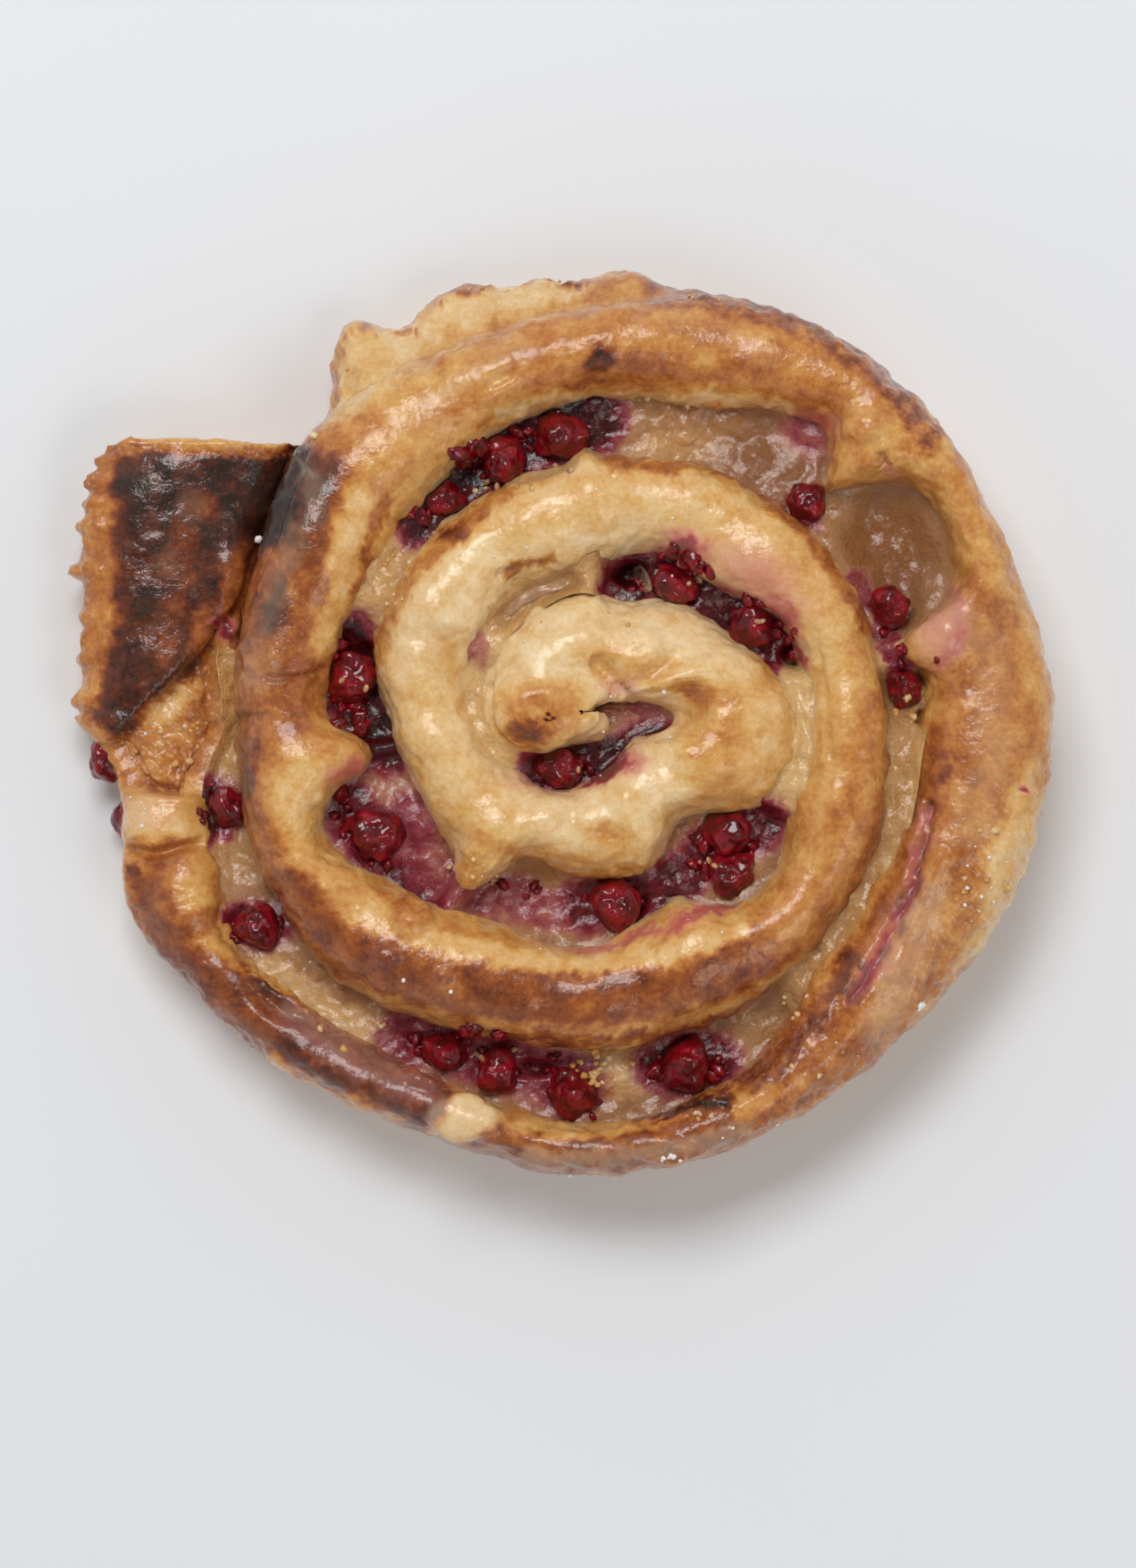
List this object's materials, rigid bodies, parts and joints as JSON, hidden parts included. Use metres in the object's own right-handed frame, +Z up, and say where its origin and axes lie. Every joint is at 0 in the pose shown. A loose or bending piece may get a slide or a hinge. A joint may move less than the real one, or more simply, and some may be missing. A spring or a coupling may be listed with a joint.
{
  "type": "currant quark pastry swirl",
  "caption": "Round coiled pastry of glazed, browned dough with quark filling and red currants showing between its turns, and a dark flat flap at its outer end.",
  "frame": {"origin": "middle of the pastry's box, on the surface it lies on", "axes": "+Z up out of the flat base, the browned and glazed side up; +X to the right and +Y to the top of the picture, the flap lying at -X"},
  "size_m": [0.1376, 0.1258, 0.0301],
  "materials": {
    "dough": "baked sweet dough with browned crests under a glossy sugar glaze",
    "filling": "soft baked quark stained pink by berry juice, wet gloss",
    "currant": "baked red currant, dark translucent red, wet gloss"
  },
  "bodies": {
    "root": {"dough": "dough", "filling": "filling", "currant_01": "currant", "currant_02": "currant", "currant_03": "currant", "currant_04": "currant", "currant_05": "currant", "currant_06": "currant", "currant_07": "currant", "currant_08": "currant", "currant_09": "currant", "currant_10": "currant", "currant_11": "currant", "currant_12": "currant", "currant_13": "currant", "currant_14": "currant", "currant_15": "currant", "currant_16": "currant", "currant_17": "currant", "currant_18": "currant", "currant_19": "currant", "currant_20": "currant", "currant_21": "currant", "currant_22": "currant"}
  },
  "joints": []
}
